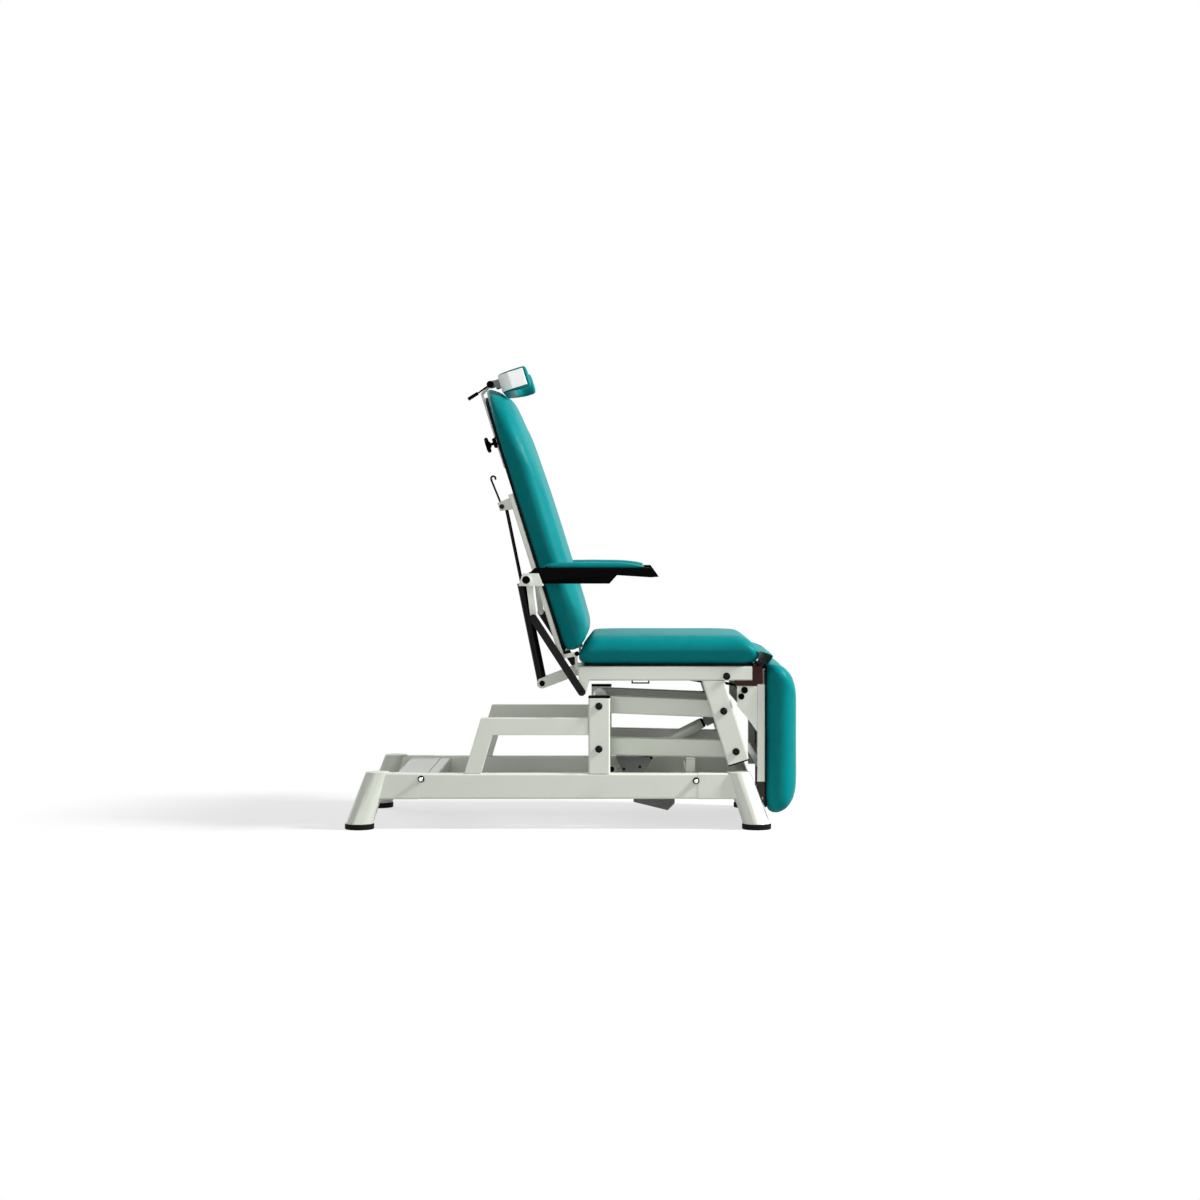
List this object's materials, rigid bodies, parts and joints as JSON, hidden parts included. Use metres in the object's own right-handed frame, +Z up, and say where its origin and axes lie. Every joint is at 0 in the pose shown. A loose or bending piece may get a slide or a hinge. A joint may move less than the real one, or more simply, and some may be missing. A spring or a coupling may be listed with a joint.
{
  "type": "ophthalmic chair",
  "caption": "Side-lift examination chair with reclining back, levelling armrests, folding leg rest, U-shaped head cradle and a tubular base on feet.",
  "frame": {"origin": "middle of the overall footprint, on the floor", "axes": "+X towards the leg rest, +Y towards the sitter's left, +Z up"},
  "size_m": [1.253, 0.792, 1.2871],
  "materials": {
    "paint": "semi-gloss",
    "vinyl": "satin",
    "black_plastic": "matte",
    "black_rubber": "matte",
    "black_steel": "satin",
    "steel": "satin",
    "grey_plastic": "matte",
    "white_plastic": "satin",
    "board": "matte"
  },
  "bodies": {
    "base": {"side_rails": "paint", "rail_sleeves": "paint", "feet": "paint", "foot_pads": "black_rubber", "base_cross_tubes": "paint", "rear_cross_plate": "paint", "subframes": "paint", "posts": "paint", "base_caps": "black_rubber", "rail_studs": "steel", "stop_posts": "paint", "base_bolts": "black_steel"},
    "lower_arms": {"lower_arms": "paint", "lower_cross_tubes": "paint"},
    "upper_arms": {"upper_arms": "paint", "upper_cross_tubes": "paint"},
    "lift_motor": {"lift_motor": "grey_plastic", "lift_tube": "paint"},
    "lift_rod": {"lift_rod": "paint"},
    "carriage": {"carriage_legs": "paint", "carriage_leg_caps": "black_plastic", "seat_side_tubes": "paint", "seat_cross_tubes": "paint", "seat_front_blocks": "black_plastic", "seat_board": "board", "seat_cushion": "vinyl", "wire_handle": "black_steel", "carriage_bolts": "black_steel", "back_spring_arm": "paint"},
    "backrest": {"back_side_tubes": "paint", "spring_bracket": "paint", "back_board": "board", "back_cushion": "vinyl", "headrest_guide": "black_plastic"},
    "back_rod": {"back_spring_rod": "black_steel"},
    "back_cylinder": {"back_spring_cylinder": "black_steel"},
    "release_lever": {"release_lever": "black_steel"},
    "headrest_bar": {"headrest_bar": "paint"},
    "headrest_knob": {"headrest_knob": "black_plastic"},
    "headrest": {"headrest_block": "grey_plastic", "headrest_shell": "white_plastic", "headrest_padding": "vinyl"},
    "headrest_lever": {"headrest_lever": "black_steel"},
    "drop_arm_right": {"drop_arm_right": "paint", "armrest_bracket_right": "paint"},
    "drop_arm_left": {"drop_arm_left": "paint", "armrest_bracket_left": "paint"},
    "armrest_right": {"armrest_body_right": "black_plastic", "armrest_pad_right": "vinyl"},
    "armrest_left": {"armrest_body_left": "black_plastic", "armrest_pad_left": "vinyl"},
    "level_link_right": {"level_link_right": "black_steel"},
    "level_link_left": {"level_link_left": "black_steel"},
    "leg_rest": {"leg_side_tubes": "paint", "leg_cross_tubes": "paint", "leg_board": "board", "leg_cushion": "vinyl"},
    "leg_rod": {"leg_spring_rod": "black_steel"},
    "leg_cylinder": {"leg_spring_cylinder": "black_steel"},
    "leg_release": {"leg_release_lever": "black_steel"}
  },
  "joints": [
    {"name": "lift_lower", "type": "hinge", "parent": "base", "child": "lower_arms", "pos_m": [0.076, 0, 0.222], "axis": [0, -1, 0], "range_deg": [0, 38]},
    {"name": "lift_upper", "type": "hinge", "parent": "base", "child": "upper_arms", "pos_m": [0.076, 0, 0.34], "axis": [0, -1, 0], "range_deg": [0, 42]},
    {"name": "carriage_level", "type": "hinge", "parent": "lower_arms", "child": "carriage", "pos_m": [0.455, 0, 0.214], "axis": [0, -1, 0], "range_deg": [-36.5, 0]},
    {"name": "lift_motor_swing", "type": "hinge", "parent": "base", "child": "lift_motor", "pos_m": [0.109, 0, 0.142], "axis": [0, -1, 0], "range_deg": [0, 30.6]},
    {"name": "lift_stroke", "type": "slide", "parent": "lift_motor", "child": "lift_rod", "axis": [0.8938, 0, 0.4484], "range_m": [0, 0.1225]},
    {"name": "recline", "type": "hinge", "parent": "carriage", "child": "backrest", "pos_m": [0.015, 0, 0.484], "axis": [0, -1, 0], "range_deg": [0, 70]},
    {"name": "back_spring_swing", "type": "hinge", "parent": "backrest", "child": "back_rod", "pos_m": [-0.195, 0, 0.8965], "axis": [0, -1, 0], "range_deg": [0, 2]},
    {"name": "back_spring_stroke", "type": "slide", "parent": "back_rod", "child": "back_cylinder", "axis": [-0.202, 0, 0.9794], "range_m": [0, 0.1635]},
    {"name": "armrest_level_right", "type": "hinge", "parent": "backrest", "child": "drop_arm_right", "pos_m": [-0.118, -0.3, 0.688], "axis": [0, 1, 0], "range_deg": [0, 70]},
    {"name": "armrest_level_left", "type": "hinge", "parent": "backrest", "child": "drop_arm_left", "pos_m": [-0.118, 0.3, 0.688], "axis": [0, 1, 0], "range_deg": [0, 70]},
    {"name": "link_swing_right", "type": "hinge", "parent": "carriage", "child": "level_link_right", "pos_m": [0.0284, -0.298, 0.3789], "axis": [0, -1, 0], "range_deg": [0, 70]},
    {"name": "link_swing_left", "type": "hinge", "parent": "carriage", "child": "level_link_left", "pos_m": [0.0284, 0.298, 0.3789], "axis": [0, -1, 0], "range_deg": [0, 70]},
    {"name": "armrest_flip_right", "type": "hinge", "parent": "drop_arm_right", "child": "armrest_right", "pos_m": [-0.118, -0.355, 0.688], "axis": [0, -1, 0], "range_deg": [0, 100]},
    {"name": "armrest_flip_left", "type": "hinge", "parent": "drop_arm_left", "child": "armrest_left", "pos_m": [-0.118, 0.355, 0.688], "axis": [0, -1, 0], "range_deg": [0, 100]},
    {"name": "leg_rest_fold", "type": "hinge", "parent": "carriage", "child": "leg_rest", "pos_m": [0.534, 0, 0.449], "axis": [0, -1, 0], "range_deg": [0, 90]},
    {"name": "leg_spring_swing", "type": "hinge", "parent": "leg_rest", "child": "leg_rod", "pos_m": [0.476, 0, 0.38], "axis": [0, -1, 0], "range_deg": [-86, 0]},
    {"name": "leg_spring_stroke", "type": "slide", "parent": "leg_rod", "child": "leg_cylinder", "axis": [-0.9851, 0, 0.1722], "range_m": [0, 0.125]},
    {"name": "back_release", "type": "hinge", "parent": "backrest", "child": "release_lever", "pos_m": [-0.20591, 0, 0.89453], "axis": [0, 1, 0], "range_deg": [0, 12], "stiffness_Nm_per_rad": 0.5, "springref_deg": -14.32},
    {"name": "leg_release", "type": "hinge", "parent": "leg_rod", "child": "leg_release", "pos_m": [0.493, -0.013, 0.368], "axis": [0, 1, 0], "range_deg": [0, 12], "stiffness_Nm_per_rad": 0.5, "springref_deg": -14.32},
    {"name": "headrest_height", "type": "slide", "parent": "backrest", "child": "headrest_bar", "axis": [-0.3007, 0, 0.9537], "range_m": [0, 0.06]},
    {"name": "headrest_tilt", "type": "hinge", "parent": "headrest_bar", "child": "headrest", "pos_m": [-0.23862, 0, 1.2447], "axis": [0, -1, 0], "range_deg": [0, 45]},
    {"name": "headrest_clamp", "type": "hinge", "parent": "headrest_bar", "child": "headrest_lever", "pos_m": [-0.23862, -0.032, 1.2447], "axis": [0, 1, 0], "range_deg": [0, 60]},
    {"name": "headrest_knob_turn", "type": "hinge", "parent": "backrest", "child": "headrest_knob", "pos_m": [-0.24016, 0, 1.07299], "axis": [0.9537, 0, 0.3007], "range_deg": [0, 270]}
  ],
  "couplings": [
    {"joint": "lift_upper", "follows": "lift_lower", "ratio": 1.1024},
    {"joint": "carriage_level", "follows": "lift_lower", "ratio": -0.95388},
    {"joint": "lift_motor_swing", "follows": "lift_lower", "ratio": 0.80174},
    {"joint": "lift_stroke", "follows": "lift_lower", "m_per_rad": 0.18358},
    {"joint": "back_spring_swing", "follows": "recline", "ratio": 0.026656},
    {"joint": "back_spring_stroke", "follows": "recline", "m_per_rad": 0.13341},
    {"joint": "armrest_level_right", "follows": "recline", "ratio": 1},
    {"joint": "armrest_level_left", "follows": "recline", "ratio": 1},
    {"joint": "link_swing_right", "follows": "recline", "ratio": 1},
    {"joint": "link_swing_left", "follows": "recline", "ratio": 1},
    {"joint": "leg_spring_swing", "follows": "leg_rest_fold", "ratio": -0.94976},
    {"joint": "leg_spring_stroke", "follows": "leg_rest_fold", "m_per_rad": 0.079259}
  ]
}
